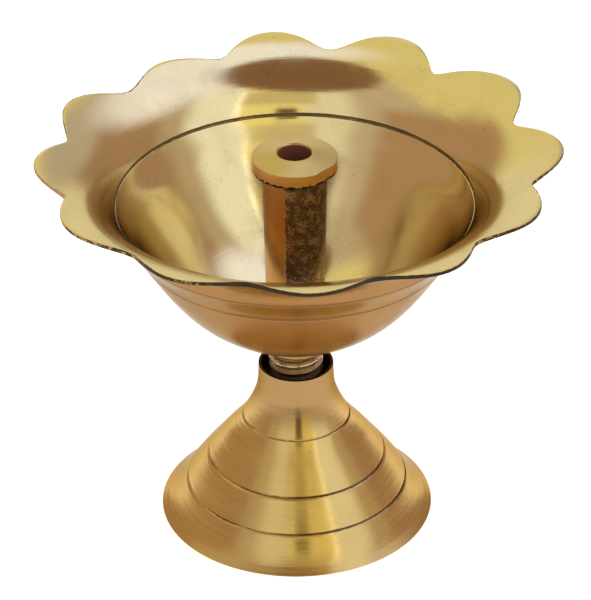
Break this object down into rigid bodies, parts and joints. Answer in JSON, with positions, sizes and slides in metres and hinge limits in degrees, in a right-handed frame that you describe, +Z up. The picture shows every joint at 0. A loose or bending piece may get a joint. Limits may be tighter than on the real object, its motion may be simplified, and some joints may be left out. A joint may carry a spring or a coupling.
{
  "type": "diya",
  "caption": "Brass oil lamp: a round bowl with a scalloped petal rim and an upright wick holder inside, screwed by a short stud onto a hollow bell-shaped stand.",
  "frame": {"origin": "centre of the foot's underside, on the turning axis", "axes": "+Z up along the turning axis, and -Y towards the picture's viewer"},
  "size_m": [0.09, 0.09, 0.0717],
  "materials": {
    "turned_brass": "fine turned",
    "polished_brass": "polished",
    "cast_brass": "cast, with a turned head",
    "thread_brass": "threaded, bright"
  },
  "bodies": {
    "stand": {"stand": "turned_brass"},
    "stud": {"threaded_stud": "thread_brass"},
    "bowl": {"bowl": "polished_brass"},
    "wick_holder": {"wick_holder": "cast_brass"}
  },
  "joints": [
    {"name": "stud_rise", "type": "slide", "parent": "stand", "child": "stud", "axis": [0, 0, 1], "range_m": [-0.00556, 0.01271]},
    {"name": "bowl_turn", "type": "hinge", "parent": "stud", "child": "bowl", "pos_m": [0, 0, 0.0322], "axis": [0, 0, 1], "range_deg": [-1260, 2880]},
    {"name": "wick_holder_lift", "type": "slide", "parent": "bowl", "child": "wick_holder", "axis": [0, 0, 1], "range_m": [0, 0.036]}
  ],
  "couplings": [
    {"joint": "stud_rise", "follows": "bowl_turn", "m_per_rad": 0.00025266}
  ]
}
